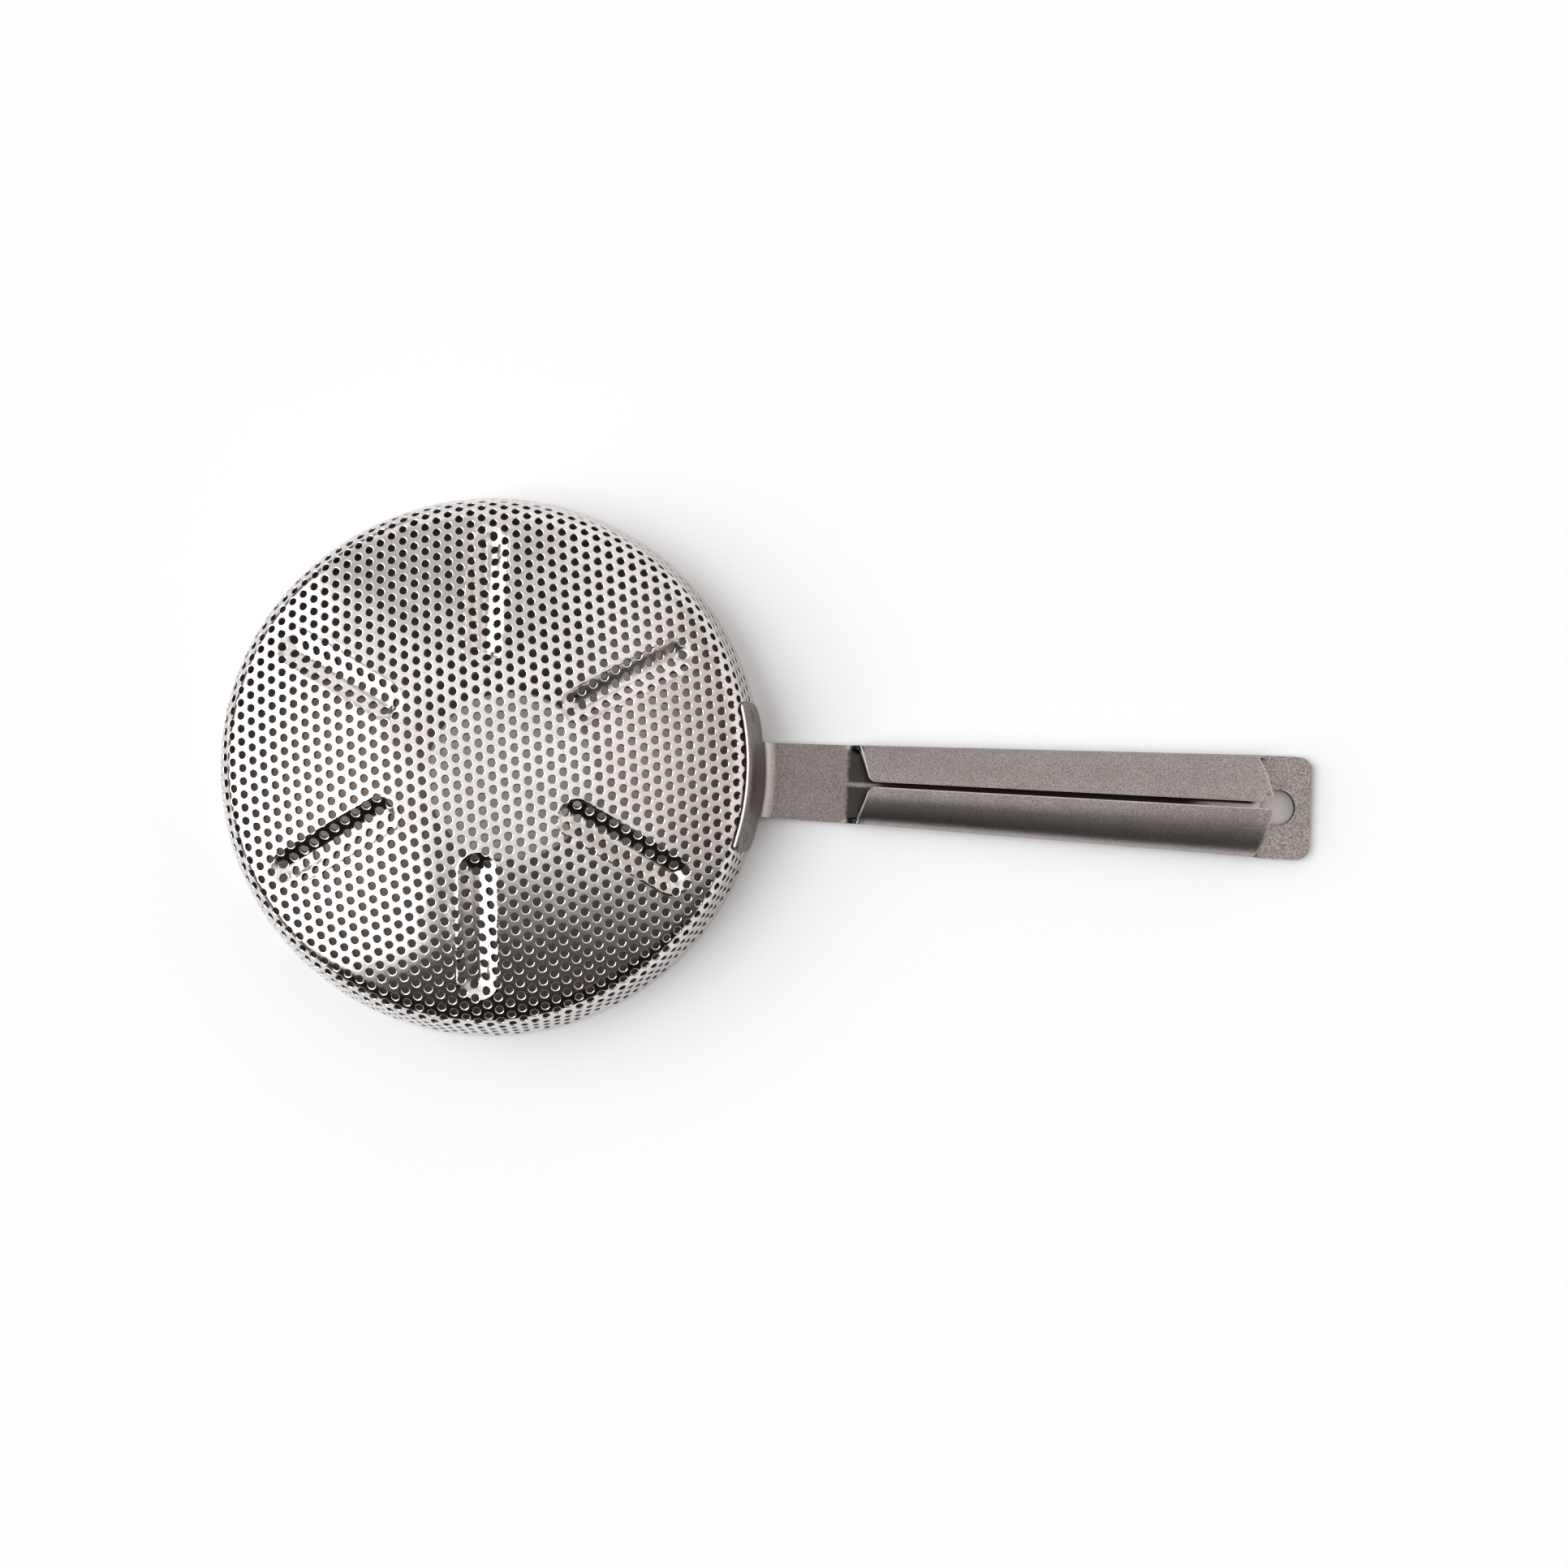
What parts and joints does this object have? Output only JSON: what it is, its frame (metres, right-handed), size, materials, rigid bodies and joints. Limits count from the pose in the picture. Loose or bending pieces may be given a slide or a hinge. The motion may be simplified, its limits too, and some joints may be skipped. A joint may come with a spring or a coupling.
{
  "type": "tea infuser",
  "caption": "Shallow round perforated steel basket with pressed radial grooves and a folded sheet-steel handle that ends in a flat tab with a hanging hole.",
  "frame": {"origin": "centre of the bowl's mouth, in the plane of its rim", "axes": "+X from the bowl along the handle to the tab, +Z from the mouth up to the domed bottom of the bowl, which lies mouth down; +Y completes the right-handed frame"},
  "size_m": [0.1695, 0.0836, 0.0162],
  "materials": {
    "polished_steel": "polished stainless steel sheet, finely perforated",
    "tumbled_steel": "satin, tumbled stainless steel sheet",
    "weld_steel": "resistance weld nugget"
  },
  "bodies": {
    "root": {"basket": "polished_steel", "handle": "tumbled_steel", "spot_welds": "weld_steel"}
  },
  "joints": []
}
